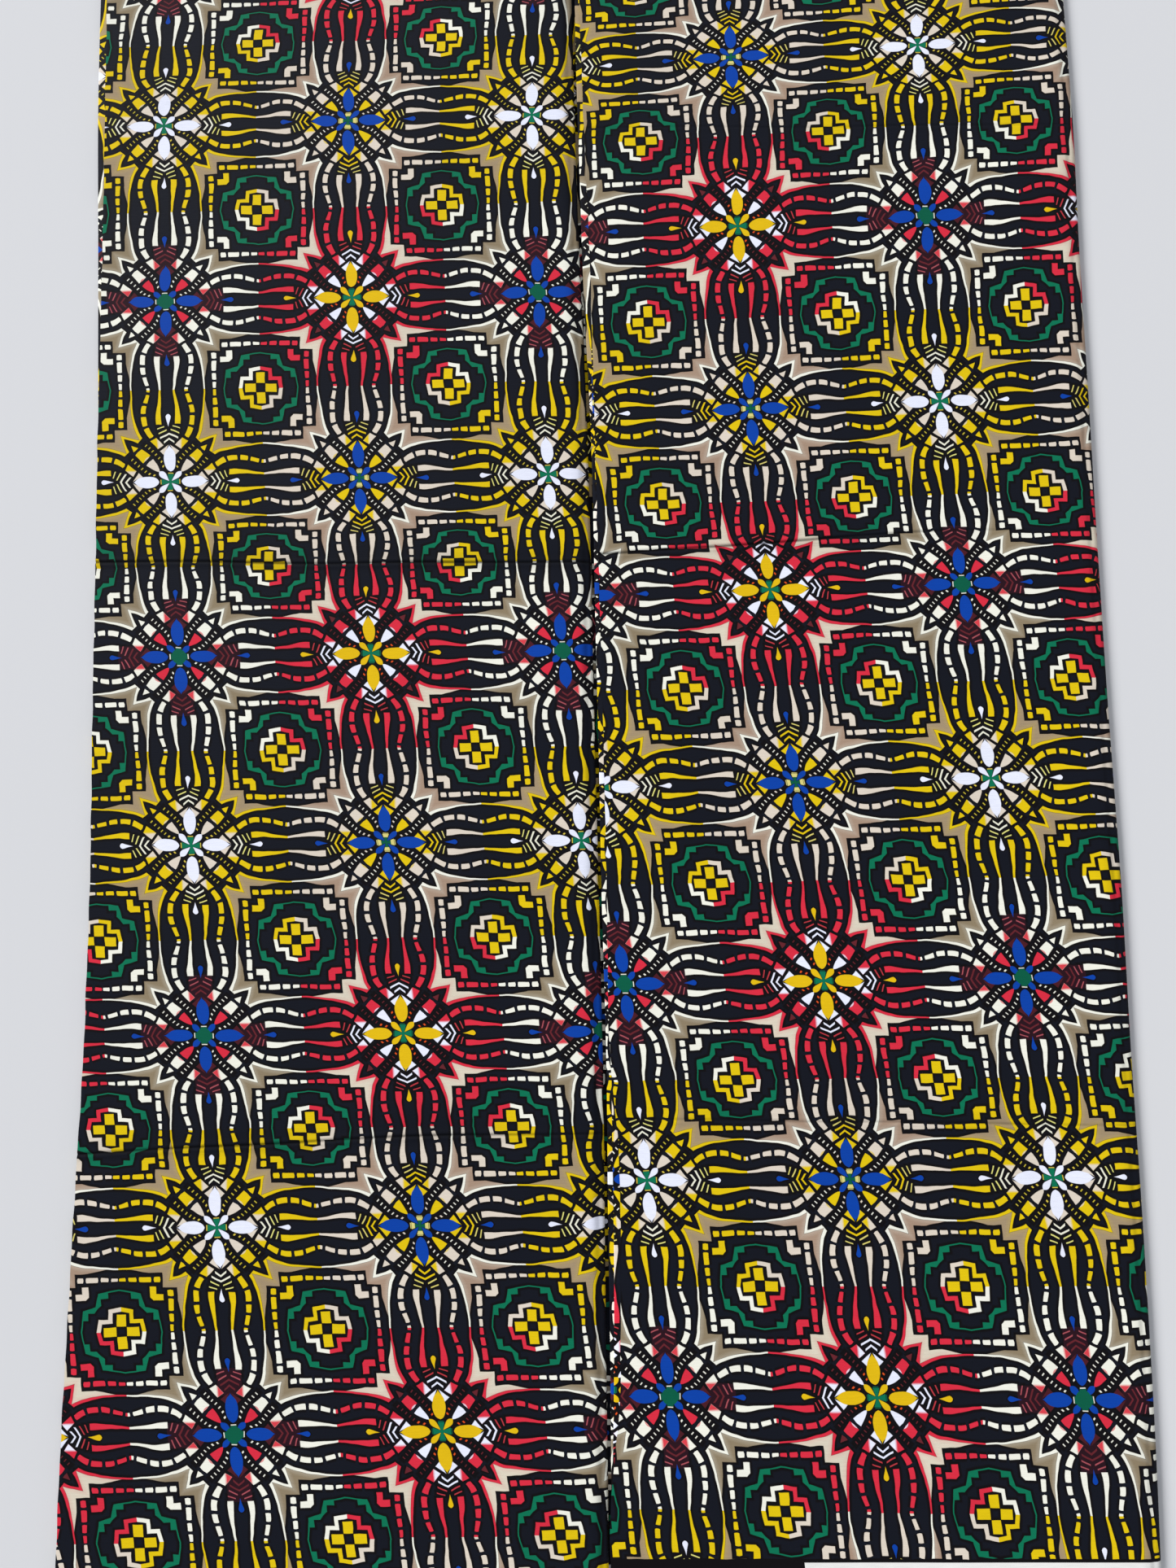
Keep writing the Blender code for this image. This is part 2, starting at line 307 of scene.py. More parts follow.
    # The border between the flowers, and the cross in its stepped ring
    far, near = 0.5 - n, 0.5 - m
    corner_piece = both(between(0.319, m, 0.351), 0.285 - n, d - 0.485)
    border = [(0, gap)]
    for start, end, first, last in ((0.298, 0.328, 0.0135, 0.0135), (0.342, 0.399, 0.0135, 0.0130),
                                    (0.413, 0.450, 0.0120, 0.0108), (0.464, 0.496, 0.0095, 0.0080)):
        border += [(start - step, gap), (start, first), (end, last), (end + step, gap)]
    dashes = size_of(n - 0.2515) - drawn(m, border, straight=True)
    ring_outer = both(0.18 * near + far - 0.1195, near - 0.062)
    ring_inner = both(0.18 * near + far - 0.0985, near - 0.0415)
    ring = both(ring_outer, 0.0 - ring_inner)
    cross = both(far - 0.085, near - 0.0232, 0.0255 - far)
    band_outer = both(0.155 * near + far - 0.200, 0.29 * far + near - 0.1564)
    band_inner = either(both(far - 0.1285, 0.7655 * far + 0.6446 * near - 0.1566),
                        both(near - 0.091, far - 0.159),
                        both(near - 0.056, 0.15 * near + far - 0.1925))
    band = both(band_outer, 0.0 - band_inner)

    lanes = by_kind(LANES, odd_column, odd_row)
    outline_ink = by_kind(OUTLINES, odd_column, odd_row)
    cream_kind = (1.0 - odd_row) * (1.0 - odd_column)
    in_lanes = either(blocks, root, tusks, corner_piece, dashes, ring, square)
    on_leaf = either(tip, kite, petal_tips, chevrons, strokes, ladder)
    in_flower = either(fringe, heart_tips, heart, petals, small_petals, drop)

    # The dye between the shapes is a dark blue, and the block's lines round them are black
    clear = either(star, outline, in_lanes, on_leaf, in_flower, cross, band)
    colour = mixed(sum_node("MULTIPLY_ADD", clear, 110.0, -0.75, clamp=True), LINE_BLACK, GROUND)
    throat = both(between(0.185, m, 0.318), n - 0.060)
    colour = mixed(inked(throat) * cream_kind, colour, "28101A")
    rim = sum_node("MULTIPLY_ADD", outline, -45.0, 1.0, clamp=True)
    star_ink = by_kind(STARS, odd_column, odd_row)
    star_ink = mixed(rim * 0.16, star_ink, outline_ink)
    colour = mixed(inked(star), colour, star_ink)
    colour = mixed(inked(outline), colour, outline_ink)
    colour = mixed(inked(in_lanes), colour, lanes)
    root_fade = sum_node("MULTIPLY_ADD", n, -90.0, 6.1, clamp=True)
    root_ink = by_kind(LANE_ROOTS, odd_column, odd_row)
    colour = mixed(inked(root) * root_fade, colour, root_ink)
    blush = sum_node("SQRT", (d - 0.150) * (d - 0.150) + e * e) - 0.030
    kite_ink = by_kind(KITES, odd_column, odd_row)
    colour = mixed(inked(both(square, blush)) * 0.7, colour, kite_ink)
    for shape, kinds in ((tip, LEAF_TIPS), (kite, KITES), (petal_tips, PETAL_TIPS),
                         (chevrons, CHEVRONS), (strokes, STROKES), (ladder, TICKS),
                         (fringe, FRINGES), (heart_tips, HEART_TIPS), (heart, HEARTS),
                         (both(heart, 0.026 - m), HEART_ARMS),
                         (either(petals, small_petals, drop), PETALS)):
        colour = mixed(inked(shape), colour, by_kind(kinds, odd_column, odd_row))
    colour = mixed(inked(heart_round) * cream_kind, colour, DARK_GREEN)
    colour = mixed(inked(cross), colour, YELLOW)
    colour = mixed(inked(band), colour, GREEN)

    # The print stops short of the selvage, which is plain: black, with a white stretch in places.
    # In pitches: how wide the black and the white are, and where the white starts along the cloth,
    # how often it comes and how long it is.
    black_width, white_width, fray = 0.088, 0.061, 0.02
    white_start, white_every, white_length = 0.56, 5.2, 2.1
    place_split = nodes.new("ShaderNodeSeparateXYZ")
    links.new(place.outputs["UV"], place_split.inputs[0])
    marks = nodes.new("ShaderNodeUVMap")
    marks.uv_map = "marks"
    shade_and_selvage_split = nodes.new("ShaderNodeSeparateXYZ")
    links.new(marks.outputs["UV"], shade_and_selvage_split.inputs[0])
    inside = Number(shade_and_selvage_split.outputs[1]) * (1 / PITCH)
    stretch = sum_node("FLOORED_MODULO", Number(place_split.outputs[0]) - white_start, white_every)
    stretch = stretch - white_length
    ragged = Number(wander.outputs["Fac"]) * fray
    colour = mixed(inked(inside + ragged - black_width), colour, LINE_BLACK)
    colour = mixed(inked(both(inside - white_width, stretch)), colour, "E9E8E4")

    # The ink lies a little unevenly, and the yarn shows through it as fine slubs. Shade is painted
    # in as
    # well: the cloth is made darker along its creases and inside its rolls, where light would fall
    # less.
    shade = noise(place.outputs["UV"], scale=2.3, detail=5.0)
    yarn_place = nodes.new("ShaderNodeVectorMath")
    yarn_place.operation = "MULTIPLY"
    yarn_place.inputs[1].default_value = (14.0, 150.0, 1.0)
    links.new(place.outputs["UV"], yarn_place.inputs[0])
    yarn = noise(yarn_place.outputs["Vector"], scale=1.0, detail=3.0)
    strength = Number(shade.outputs["Fac"]) * 0.22 + Number(yarn.outputs["Fac"]) * 0.22 + 0.78
    # Painted shade at the creases and rolls, from the first channel of the cloth's second map
    strength = strength * (1.0 - Number(shade_and_selvage_split.outputs[0]))
    uneven = nodes.new("ShaderNodeVectorMath")
    uneven.operation = "SCALE"
    links.new(colour.socket, uneven.inputs[0])
    links.new(strength.socket, uneven.inputs["Scale"])
    shader = nodes["Principled BSDF"]
    links.new(uneven.outputs["Vector"], shader.inputs["Base Color"])
    rough = Number(yarn.outputs["Fac"]) * 0.16 + 0.66
    links.new(rough.socket, shader.inputs["Roughness"])
    shader.inputs["Specular IOR Level"].default_value = 0.09
    shader.inputs["Sheen Weight"].default_value = 0.015
    shader.inputs["Sheen Roughness"].default_value = 0.5

    # Warp over weft, two threads to each step
    weave_step = 0.0008
    threads = 2 * math.pi * PITCH / weave_step
    weave = sum_node("SINE", Number(place_split.outputs[0]) * threads)
    weave = weave * sum_node("SINE", Number(place_split.outputs[1]) * threads)
    height = weave * 0.5 + Number(yarn.outputs["Fac"]) * 1.5
    bump = nodes.new("ShaderNodeBump")
    bump.inputs["Strength"].default_value = 0.35
    bump.inputs["Distance"].default_value = 0.00012
    links.new(height.socket, bump.inputs["Height"])
    links.new(bump.outputs["Normal"], shader.inputs["Normal"])
    return material


cotton = printed_cotton("printed cotton")


# The bottom leaf. It is the cloth's own seventh and eighth leaf, which lie flat on the surface
# under both stacks and make them one cloth. Its selvages slip from one stack to the other.

MM = 0.001
# How wide and how thick the cloth is, and how much further up the right stack lies
CLOTH_WIDTH = 1.180
CLOTH = 0.0005
RIGHT_LAG = 0.0262

# The creases across the stacks take up some of the width
LEFT_TAKEN, RIGHT_TAKEN = 0.0145, 0.0025
SPAN = CLOTH_WIDTH - RIGHT_TAKEN + RIGHT_LAG
LEFT_BOTTOM = -SPAN / 2
LEFT_TOP = LEFT_BOTTOM + CLOTH_WIDTH - LEFT_TAKEN
RIGHT_BOTTOM = LEFT_BOTTOM + RIGHT_LAG
RIGHT_TOP = SPAN / 2

# Where each long edge lies, at places along the width, from top to bottom. Millimetres.
EDGE_Y = (602, 540, 440, 345, 220, 130, 10, -130, -240, -300, -350, -475, -525, -602)
EDGES = {
    "left_under": (-372.5, -372.5, -369.8, -366.2, -360.6, -356.5, -352.5, -349.0, -348.5,
                   -349.8, -350.7, -352.5, -352.7, -352.5),
    "left_top": (-366.8, -366.4, -364.0, -361.6, -359.5, -357.3, -354.4, -350.5, -350.0,
                 -351.3, -352.2, -354.0, -354.2, -354.0),
    "left_roll": (-18.5, -17.5, -14.8, -11.8, -6.0, -3.4, -1.0, 2.6, 5.2, 6.0, 6.3, 7.6, 8.4, 8.8),
    "right_mid": (-12.0, -10.8, -7.3, -3.2, -3.0, 2.6, 6.2, 9.0, 10.4, 11.1, 11.9, 12.0, 11.0, 11.0),
    "right_top": (-13.0, -11.8, -8.3, -4.0, -0.6, 1.7, 5.2, 8.0, 9.2, 16.2, 17.0, 16.7, 9.4, 9.8),
    "right_roll": (352.0, 353.6, 357.0, 357.2, 359.4, 360.6, 362.9, 367.0, 368.1, 369.6, 370.8,
                   372.5, 372.5, 372.0),
}
EDGE_EASE = 0.024


def edge(name, y):
    """x of a long edge at each y, with the corners between the measured places eased."""
    places = np.array(EDGE_Y[::-1]) * MM
    values = np.array(EDGES[name][::-1]) * MM
    reach = (-1.0, -0.5, 0.0, 0.5, 1.0)
    return sum(np.interp(y + EDGE_EASE * part, places, values) for part in reach) / len(reach)


def cloth_object(name, points, print_map, painted_shade=0.0):
    """A cloth of one layer, from a grid of points, the print's places at them and how much shade is
    painted on it there, at its creases and rolls."""
    rows, columns = points.shape[:2]
    mesh = bpy.data.meshes.new(name)
    index = np.arange(rows * columns).reshape(rows, columns)
    quads = np.stack([index[:-1, :-1], index[:-1, 1:], index[1:, 1:], index[1:, :-1]], axis=-1)
    mesh.from_pydata(points.reshape(-1, 3).tolist(), [], quads.reshape(-1, 4).tolist())
    corner_points = np.empty(len(mesh.loops), dtype=np.int32)
    mesh.loops.foreach_get("vertex_index", corner_points)
    y = points[:, :, 1]
    # The second map holds the painted shade, and how far each place is from the nearer selvage
    marks = np.stack([painted_shade + 0 * y, np.minimum(y - y[:1], y[-1:] - y)], axis=-1)
    for layer_name, places in (("print", print_map), ("marks", marks)):
        layer = mesh.uv_layers.new(name=layer_name)
        layer.data.foreach_set("uv", places.reshape(-1, 2)[corner_points].ravel())
    made = bpy.data.objects.new(name, mesh)
    bpy.context.scene.collection.objects.link(made)
    return made


def thicken(piece, thickness):
    """Give the cloth its thickness, half of it to each side, and smooth it."""
    bpy.ops.object.select_all(action="DESELECT")
    bpy.context.view_layer.objects.active = piece
    piece.select_set(True)
    bpy.ops.object.modifier_add(type="SOLIDIFY")
    solid = piece.modifiers[-1]
    solid.thickness = thickness
    solid.offset = 0.0
    bpy.ops.object.modifier_apply(modifier=solid.name)
    bpy.ops.object.shade_smooth_by_angle(angle=math.radians(50))
    piece.data.materials.append(cotton)


# The map to bake through, in shares of its side: the margin, each half of the upper side and how
# far apart the two start, the rim, and the strip that the back has along the top
BAKE_MARGIN, BAKE_RIM = 0.008, 0.004
HALF_WIDE, HALF_TALL, HALF_APART = 0.480, 0.860, 0.504
BACK_LONG, BACK_TALL, BACK_FROM = 0.984, 0.110, 0.882


def lay_out_to_bake(piece, points):
    """A map to bake a leaf through: the side that shows as two halves, the other side small."""
    rows, columns = points.shape[:2]
    vertex = np.empty(len(piece.data.loops), dtype=np.int32)
    piece.data.loops.foreach_get("vertex_index", vertex)
    vertex = vertex.reshape(-1, 4)
    on_back = vertex >= rows * columns
    row, column = np.divmod(vertex % (rows * columns), columns)
    run = np.linalg.norm(np.diff(points, axis=1), axis=2).mean(axis=0)
    along = np.concatenate([[0.0], np.cumsum(run)])[column] / run.sum()
    height = points[:, :, 1].mean(axis=1)
    level = ((height - height[0]) / (height[-1] - height[0]))[row]
    half = rows // 2
    middle = (height[half] - height[0]) / (height[-1] - height[0])
    is_upper = row.min(axis=1, keepdims=True) >= half
    u = BAKE_MARGIN + HALF_WIDE * along + HALF_APART * is_upper
    in_half = np.where(is_upper, (level - middle) / (1 - middle), level / middle)
    v = BAKE_MARGIN + HALF_TALL * in_half
    # The cloth's thin rim lies round the halves
    u += BAKE_RIM * on_back * ((column == columns - 1) * 1.0 - (column == 0))
    v += BAKE_RIM * on_back * ((row == rows - 1) * 1.0 - (row == 0))
    back = on_back.all(axis=1, keepdims=True)
    u = np.where(back, BAKE_MARGIN + BACK_LONG * level, u)
    v = np.where(back, BACK_FROM + BACK_TALL * along, v)
    layer = piece.data.uv_layers.new(name="OFBake")
    layer.data.foreach_set("uv", np.stack([u, v], axis=-1).ravel())


def hand_in(piece, node):
    """Put a cloth in the place of its solid: hang it from the root and hide the solid."""
    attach(piece, "root")
    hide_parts(node)


def steps_between(low, high, step):
    """Even places from low to high, about one step apart."""
    return np.linspace(low, high, max(2, round((high - low) / step) + 1))


# How far its edges lie inside those of the stacks, how long each selvage takes to slip across and
# where the upper one starts to, its sides, and the print's column at x = 0 and the y of its row 0
BASE_INSET, SLIP_LENGTH, UPPER_SLIP = 0.0035, 0.130, 0.02
BASE_LEFT, BASE_RIGHT = -0.3505, 0.3595
BASE_COLUMN, BASE_ROW = 0.3, -0.4890
# The steps between the points of a grid, as shares of it
ROW_SHARE, COLUMN_SHARE = 0.008, 0.012

across = steps_between(0.0, 1.0, ROW_SHARE)
share = steps_between(0.0, 1.0, COLUMN_SHARE)
ends = []
for slip, at_left, at_right in (
        (-SLIP_LENGTH, LEFT_BOTTOM + BASE_INSET, RIGHT_BOTTOM + BASE_INSET),
        (UPPER_SLIP, LEFT_TOP - BASE_INSET, RIGHT_TOP - BASE_INSET)):
    x = BASE_LEFT + (BASE_RIGHT - BASE_LEFT) * share
    part = np.clip((x - slip) / SLIP_LENGTH, 0, 1)
    ends.append(at_left + (at_right - at_left) * (1 - np.cos(np.pi * part)) / 2)
y = ends[0][None, :] + (ends[1] - ends[0])[None, :] * across[:, None]
left_side, right_side = edge("left_top", y) + BASE_INSET, edge("right_roll", y) - BASE_INSET
x = left_side + (right_side - left_side) * share[None, :]
points = np.stack([x, y, np.full_like(x, CLOTH / 2)], axis=-1)
places = np.stack([x / PITCH + BASE_COLUMN, (y - BASE_ROW) / PITCH], axis=-1)
bottom_leaf = cloth_object("bottom_leaf_cloth", points, places)
thicken(bottom_leaf, CLOTH)
hand_in(bottom_leaf, "bottom_leaf")


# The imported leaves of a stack, the same cloth folded to and fro on the bottom leaf. The left stack
# has five of them, which start at its left side, and the right stack has six, which start at its
# right side. Their folds and their selvages lie a little apart, as a hand leaves them.

# How high the lowest and the highest of them lie, the points along a leaf and the sides of a fold
FIRST_LEAF, LAST_LEAF = 0.00100, 0.00550
LEAF_COLUMNS, FOLD_SIDES = 13, 5
# How far the folds at the left side and at the right side sway, and the sways kept for each side
LEFT_DRIFT, RIGHT_DRIFT, SIDE_SWAYS = 0.0004, 0.0005, 8


def packed_leaves(name, bottom, top, left_edges, right_edges, ends, start_u, first_row, seed):
    """Leaves folded to and fro, one for each pair of ends, which are how far inside the stack its
    selvages lie. The edges are the names of the long edges and how far inside them each fold lies,
    from the lowest fold up. The print ends at the column start_u, and its row 0 is at first_row."""
    chance = np.random.default_rng(seed)
    rows = steps_between(0.0, 1.0, ROW_SHARE)
    wave = [chance.uniform(0, 2 * np.pi, 4) for _ in range(2 * SIDE_SWAYS)]
    parts = []
    rise = (LAST_LEAF - FIRST_LEAF) / (len(ends) - 1)
    # The last leaf ends at the right side, so with five leaves the first one starts at the left
    first_leaf = len(ends) % 2
    y_flat = bottom + (top - bottom) * rows
    for i, (low_in, high_in) in enumerate(ends):
        leaf = i + first_leaf
        z = FIRST_LEAF + rise * i
        fold = leaf // 2
        left_name, left_in = left_edges[fold]
        right_name, right_in = right_edges[(leaf + 1) // 2 - first_leaf]
        low, high = bottom + low_in * MM, top - high_in * MM
        y = low + (high - low) * rows
        ease_left, ease_right = wave[fold], wave[SIDE_SWAYS + (leaf + 1) // 2]
        sway = np.sin(y_flat * 21 + ease_left[0]) * np.sin(y_flat * 9 + ease_left[1])
        left = edge(left_name, y) + left_in * MM + LEFT_DRIFT * (1 + sway) + rise / 2
        sway = np.sin(y_flat * 17 + ease_right[0]) * np.sin(y_flat * 8 + ease_right[1])
        right = edge(right_name, y) - right_in * MM - RIGHT_DRIFT * (1 + sway) - rise / 2
        share = np.linspace(0, 1, LEAF_COLUMNS)
        x = left[:, None] + (right - left)[:, None] * share[None, :]
        line = np.stack([x, np.repeat(y[:, None], LEAF_COLUMNS, 1), np.full_like(x, z)], axis=-1)
        # A leaf with an odd number runs to the right
        parts.append(line if leaf % 2 == 1 else line[:, ::-1])
    points = [parts[0]]
    for i, part in enumerate(parts[1:], start=1):
        before, after = points[-1][:, -1], part[:, 0]
        out = -1.0 if (i + first_leaf) % 2 == 1 else 1.0
        turn = []
        for angle in np.pi * np.arange(1, FOLD_SIDES) / FOLD_SIDES:
            middle = before + (after - before) * (1 - math.cos(angle)) / 2
            middle[:, 0] += out * rise / 2 * math.sin(angle)
            turn.append(middle)
        points.append(np.stack(turn, axis=1))
        points.append(part)
    points = np.concatenate(points, axis=1)
    run = np.linalg.norm(np.diff(points, axis=1), axis=2)
    length = np.concatenate([np.zeros((len(rows), 1)), np.cumsum(run, axis=1)], axis=1)
    u = start_u - (length[:, -1:] - length) / PITCH
    v = (points[:, :, 1] - first_row) / PITCH
    made = cloth_object(name, points, np.stack([u, v], axis=-1))
    thicken(made, CLOTH)
    return made


# How far inside the stack the lower and the upper selvage of each leaf lie, in millimetres
LEFT_ENDS = ((2.4, 3.4), (1.2, 2.0), (2.2, 1.4), (2.8, 3.0), (1.8, 2.2))
left_packed = packed_leaves(
    "left_packed_cloth", LEFT_BOTTOM, LEFT_TOP,
    (("left_under", 1.8), ("left_under", 2.6), ("left_under", 0.2)),
    (("left_roll", 4.2), ("left_roll", 6.5), ("left_roll", 11.5)),
    LEFT_ENDS, start_u=2.665, first_row=-0.4796, seed=3,
)
hand_in(left_packed, "left_packed_leaves")


# The top leaf of a stack. It starts at the cut end of the cloth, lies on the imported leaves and
# rolls over softly at its right side, where the fold takes it under. Old creases cross it.

# How high its upper side and the widest place of its roll lie, and how far the cloth turns back
# under the roll, at four angles past that place
LEAF_TOP = 0.0069
ROLL_LOW = 0.0030
UNDER_REACH = 0.0012
UNDER_ANGLES = (0.3, 0.6, 0.9, 1.2)

# Its grid: points over the flat part and over the roll, and the step between its rows, which lie
# closer at a crease, at these millimetres from its middle
FLAT_COLUMNS, ROLL_COLUMNS = 73, 20
ROW_STEP, CREASE_CLEAR = 0.005, 0.011
CREASE_ROWS = (-10, -8, -6, -4.5, -3.4, -2.6, -1.9, -1.3, -0.8, -0.4, 0,
               0.4, 0.8, 1.3, 1.9, 2.6, 3.4, 4.5, 6, 8, 10)
# The rows follow a crease's slant close to it, and less and less up to about 80 mm away
SLANT_SHARE, SLANT_REACH = 1.6, 0.05

# How much its cut edge wavers, and its upper side swells, and how far before the roll that fades
EDGE_WAVER, LONG_SWELL, SHORT_SWELL, SWELL_FADE = 0.0003, 0.00014, 0.00010, 0.02

# A crease: where its line runs from the left side to the right one, how deep its valley is, how high
# its lips and how deep the line between them, how much shade is painted on the valley and on the
# line, and how strong it is on its way. Millimetres, but for the last three.
CREASE_SHARES = (0.0, 0.25, 0.5, 0.75, 1.0)
VALLEY_REACH, LIP_REACH, LINE_REACH = 9.0, 3.2, 1.15
# How much the line wavers, and how far beside it the band of painted shade lies and how wide it is
LINE_WAVER, BAND_ASIDE, BAND_REACH = 0.6, 1.5, 6.0
LEFT_CREASES = (
    ((104.7, 104.9, 104.0, 104.4, 105.0), 0.30, 0.70, 0.95, 0.24, 0.48, (1.0, 1.0, 0.9, 1.0, 1.0)),
    ((-307.0, -302.2, -297.4, -294.3, -293.6), 0.15, 0.65, 0.95, 0.18, 0.46,
     (0.9, 1.0, 1.0, 0.9, 0.6)),
)
RIGHT_CREASES = (
    ((110.4, 116.0, 123.6, 128.0, 129.0), 0.10, 0.70, 1.00, 0.10, 0.58, (1.0, 1.0, 0.9, 0.3, 0.1)),
    ((-284.0, -284.5, -285.5, -287.0, -288.0), 0.10, 0.35, 0.50, 0.12, 0.14,
     (0.5, 0.9, 0.9, 1.0, 0.5)),
    ((435.0, 436.0, 436.0, 437.0, 438.0), 0.05, 0.20, 0.30, 0.06, 0.14,
     (0.8, 0.6, 0.8, 0.9, 0.5)),
)
# The leaf sinks a little just inside its roll, where the imported folds stop carrying it. Shade is
# painted in there as well: how much, and how far from the dent's own line that painted shade is
# darkest, counted in reaches
DENT_DEEP, DENT_REACH, DENT_PAINTED_SHADE, PAINTED_SHADE_ASIDE = 0.00045, 0.0021, 0.20, 0.9

# Where the rows of the print lie on a leaf. The cloth is bowed, a little uneven, and drawn up at
# its creases, so each row has its own place. Row, then y and x of its middle, in millimetres.
LEFT_ROWS = (
    (-1, -617.0, -83.3), (-0.5, -551.6, -92.5), (0, -485.6, -101.7), (0.5, -419.7, -110.5),
    (1, -353.6, -118.3), (1.25, -320.0, -122.0), (1.5, -288.7, -124.9), (2, -226.2, -131.6),
    (2.5, -161.4, -138.2), (3, -95.5, -145.5), (3.5, -29.3, -151.6), (4, 38.5, -158.6),
    (4.25, 72.8, -162.4), (4.5, 103.6, -164.8), (4.75, 133.5, -167.1), (5, 166.8, -169.4),
    (5.5, 236.1, -174.2), (6, 303.5, -177.7), (6.5, 372.8, -180.7), (7, 441.2, -183.4),
    (7.5, 505.1, -183.5), (8, 569.0, -182.6),
)
RIGHT_ROWS = (
    (-1, -609.2, 270.4), (-0.5, -537.6, 263.0), (0, -465.0, 255.8), (0.5, -393.2, 248.1),
    (1, -322.6, 241.1), (1.25, -288.3, 237.6), (1.5, -255.9, 233.9), (2, -189.6, 225.8),
    (2.5, -120.8, 217.5), (3, -51.9, 208.8), (3.5, 17.3, 200.5), (4, 86.8, 193.2),
    (4.25, 120.3, 189.3), (4.5, 152.1, 186.1), (5, 221.4, 181.2), (5.5, 290.8, 177.1),
    (6, 362.4, 174.4), (6.25, 399.4, 173.9), (6.5, 433.3, 173.4), (7, 496.5, 171.7),
    (7.5, 558.8, 170.3), (8, 621.1, 168.9),
)
# The middle column of each leaf, and at five rows how the row slopes and how its pitch is drawn
SLOPE_ROWS = (-1.0, 1.0, 3.0, 5.0, 7.5)
LEFT_PRINT = (1.0, LEFT_ROWS, (0.0204, 0.0099, 0.0115, 0.0205, 0.0343),
              (1.0157, 1.0011, 0.9940, 0.9933, 1.0000))
RIGHT_PRINT = (0.5, RIGHT_ROWS, (-0.0215, 0.0065, 0.0235, 0.0405, 0.0780),
               (1.0068, 1.0055, 1.0016, 1.0039, 1.0284))


def print_places(x, y, laid, first_column):
    """The column and row of the print at each place of a leaf, found by going round a few times."""
    middle_column, rows, slopes, pitches = laid
    row_number, row_y, row_x = np.array(rows).T
    column, row = np.full_like(x, middle_column), np.zeros_like(x)
    for _ in range(8):
        aside = (column - middle_column) * PITCH
        level = y - aside * np.interp(row, SLOPE_ROWS, slopes)
        row = np.interp(level, row_y * MM, row_number)
        middle = np.interp(row, row_number, row_x) * MM
        column = middle_column + (x - middle) / PITCH / np.interp(row, SLOPE_ROWS, pitches)
    return np.stack([column + first_column, row], axis=-1)


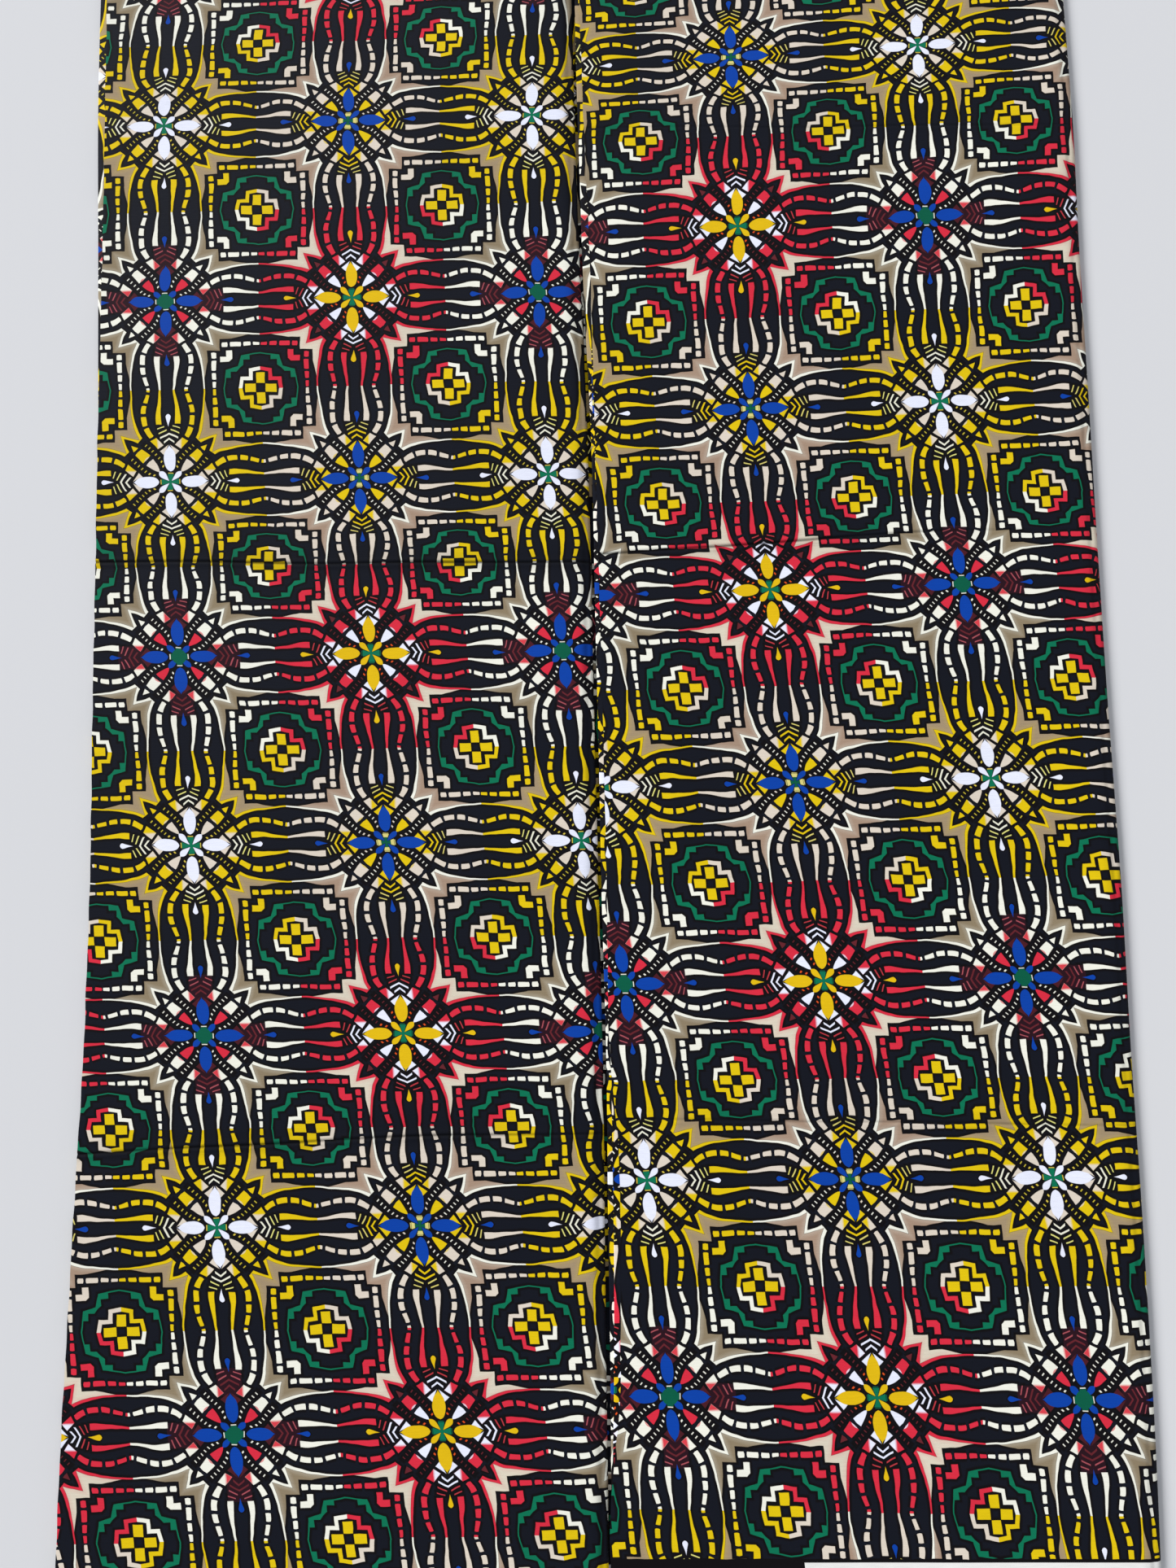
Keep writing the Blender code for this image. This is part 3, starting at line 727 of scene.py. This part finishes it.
def top_leaf(name, side, bottom, top, creases, laid, first_column, roll_width, dent_in, seed):
    """A leaf that shows, with its creases, its roll and the dent inside it."""
    chance = np.random.default_rng(seed)
    wave = chance.uniform(0, 2 * np.pi, 12)
    rows = list(steps_between(bottom, top, ROW_STEP))
    for line, *_ in creases:
        middle = line[2] * MM
        rows = [y for y in rows if abs(y - middle) > CREASE_CLEAR]
        rows += list(middle + np.array(CREASE_ROWS) * MM)
    y = np.array(sorted(rows))[:, None]
    # The rows of points bend with the creases
    over_roll = np.ones(ROLL_COLUMNS + len(UNDER_ANGLES))
    share = np.concatenate([np.linspace(0, 1, FLAT_COLUMNS), over_roll])[None, :]
    bend = np.zeros_like(y * share)
    for line, *_ in creases:
        close = np.clip(SLANT_SHARE - np.abs(y - line[2] * MM) / SLANT_REACH, 0, 1)
        bend += close * (np.interp(share, CREASE_SHARES, line) - line[2]) * MM
    y = y + bend
    left, right = edge(side + "_top", y), edge(side + "_roll", y) - CLOTH / 2
    left = left + EDGE_WAVER * np.sin(y * 160 + wave[0]) * np.sin(y * 47 + wave[1])
    turn = right - roll_width
    x = left + (turn - left) * share
    middle_height = LEAF_TOP - CLOTH / 2
    z = np.full_like(x, middle_height)
    fall = np.clip((turn - x) / SWELL_FADE, 0, 1)
    z += LONG_SWELL * np.sin(x * 23 + y * 6 + wave[2]) * np.sin(y * 31 + wave[3]) * fall
    z += (SHORT_SWELL * np.sin(x * 61 - y * 17 + wave[4]) * np.sin(y * 54 + x * 9 + wave[5])
          * fall)
    # Shade painted along each crease: a broad band beside it and a darker line on it
    painted_shade = np.zeros_like(z)
    for line, valley, lip, deep, shade, dark, strength in creases:
        away = y / MM - np.interp(share, CREASE_SHARES, line)
        away = away + LINE_WAVER * np.sin(x * 34 + wave[6]) * (1 - share) * share * 4
        hold = np.interp(share, CREASE_SHARES, strength) * (1 + 0.12 * np.sin(x * 47 + wave[7]))
        painted_shade += hold * (shade * np.exp(-((away - BAND_ASIDE) / BAND_REACH) ** 2)
                           + dark * np.exp(-(away / LINE_REACH) ** 2))
        z += hold * MM * (lip * np.exp(-(away / LIP_REACH) ** 2)
                          - valley * np.exp(-(away / VALLEY_REACH) ** 2)
                          - deep * np.exp(-(away / LINE_REACH) ** 2))
    # The roll: down to its widest place, then back under
    points = np.stack([x, y, z], axis=-1)
    last = FLAT_COLUMNS - 1
    drop = middle_height - ROLL_LOW
    rise = z[:, last] - middle_height
    angles = np.concatenate([np.linspace(0, np.pi / 2, ROLL_COLUMNS + 1)[1:],
                             np.pi / 2 + np.array(UNDER_ANGLES)])
    for column, angle in enumerate(angles, start=FLAT_COLUMNS):
        if angle <= np.pi / 2:
            points[:, column, 0] = turn[:, last] + roll_width * math.sin(angle)
            points[:, column, 2] = ROLL_LOW + (drop + rise) * math.cos(angle)
        else:
            points[:, column, 0] = right[:, last] - UNDER_REACH * (1 - math.sin(angle))
            points[:, column, 2] = ROLL_LOW + UNDER_REACH * math.cos(angle)
    short_of = (right - dent_in - points[:, :, 0]) / DENT_REACH
    soft = 0.8 + 0.2 * np.sin(y * 19 + wave[8]) * np.sin(y * 43 + wave[9])
    upper = points[:, :, 2] > ROLL_LOW + CLOTH
    points[:, :, 2] -= DENT_DEEP * soft * np.exp(-short_of ** 2) * upper
    # Painted shade in the dent, where the roll starts to turn down
    painted_shade += DENT_PAINTED_SHADE * soft * np.exp(-(short_of - PAINTED_SHADE_ASIDE) ** 2) * upper
    # The print's measure runs over the roll by the length of the cloth
    run = np.linalg.norm(np.diff(points[:, last:], axis=1), axis=2)
    flat_x = points[:, :, 0].copy()
    flat_x[:, FLAT_COLUMNS:] = flat_x[:, [last]] + np.cumsum(run, axis=1)
    places = print_places(flat_x, points[:, :, 1], laid, first_column)
    made = cloth_object(name, points, places, painted_shade)
    thicken(made, CLOTH)
    lay_out_to_bake(made, points)
    return made


left_top = top_leaf("left_top_cloth", "left", LEFT_BOTTOM, LEFT_TOP, LEFT_CREASES, LEFT_PRINT,
                    first_column=0, roll_width=0.013, dent_in=0.0035, seed=5)
hand_in(left_top, "left_top_leaf")


# The right stack lies beside the left one, on the same bottom leaf. Two of its packed folds look
# out between the stacks, where its top leaf was pulled back a little.

RIGHT_ENDS = ((2.6, 3.0), (3.2, 2.4), (1.6, 2.8), (3.0, 1.6), (1.8, 2.4), (2.4, 2.0))
right_packed = packed_leaves(
    "right_packed_cloth", RIGHT_BOTTOM, RIGHT_TOP,
    (("left_roll", 2.8), ("left_roll", 2.1), ("right_mid", 0.2)),
    (("right_roll", 4.4), ("right_roll", 3.2), ("right_roll", 5.2), ("right_roll", 8.8)),
    RIGHT_ENDS, start_u=3.60, first_row=-0.4600, seed=9,
)
hand_in(right_packed, "right_packed_leaves")

right_top = top_leaf("right_top_cloth", "right", RIGHT_BOTTOM, RIGHT_TOP, RIGHT_CREASES,
                     RIGHT_PRINT, first_column=1, roll_width=0.009, dent_in=0.0055, seed=8)
hand_in(right_top, "right_top_leaf")


# The studio: a pale floor, soft light from the upper left, and a camera that looks straight down
# on the cloth, tipped a little towards its upper selvage.

bpy.ops.object.select_all(action="DESELECT")
bpy.ops.mesh.primitive_plane_add(size=6.0, location=(0, 0, 0))
floor = bpy.context.object
floor.name = "floor"
floor_paint = bpy.data.materials.new("pale floor")
floor_paint.use_nodes = True
floor_shader = floor_paint.node_tree.nodes["Principled BSDF"]
floor_shader.inputs["Base Color"].default_value = (0.66, 0.665, 0.68, 1)
floor_shader.inputs["Roughness"].default_value = 0.85
floor.data.materials.append(floor_paint)

bpy.ops.object.light_add(type="SUN", location=(-1.8, 1.5, 1.5))
window = bpy.context.object
window.name = "window light"
window.data.energy = 4.25
window.data.angle = math.radians(20)
window.rotation_euler = (math.radians(64), 0, math.atan2(-1.8, -1.5))
bpy.ops.object.light_add(type="AREA", location=(0.2, 0.0, 2.6))
fill = bpy.context.object
fill.name = "fill light"
fill.data.shape = "SQUARE"
fill.data.size = 2.4
fill.data.energy = 7.5
world = bpy.data.worlds.new("soft room")
bpy.context.scene.world = world
world.use_nodes = True
world.node_tree.nodes["Background"].inputs["Color"].default_value = (0.9, 0.93, 1.0, 1)
world.node_tree.nodes["Background"].inputs["Strength"].default_value = 0.40

bpy.ops.object.camera_add(location=(-0.005, -0.1322, 0.796), rotation=(math.radians(5.634), 0, 0))
camera = bpy.context.object
camera.data.lens = 26.0
camera.data.sensor_width = 36.0
bpy.context.scene.camera = camera
bpy.context.scene.view_settings.view_transform = "Standard"
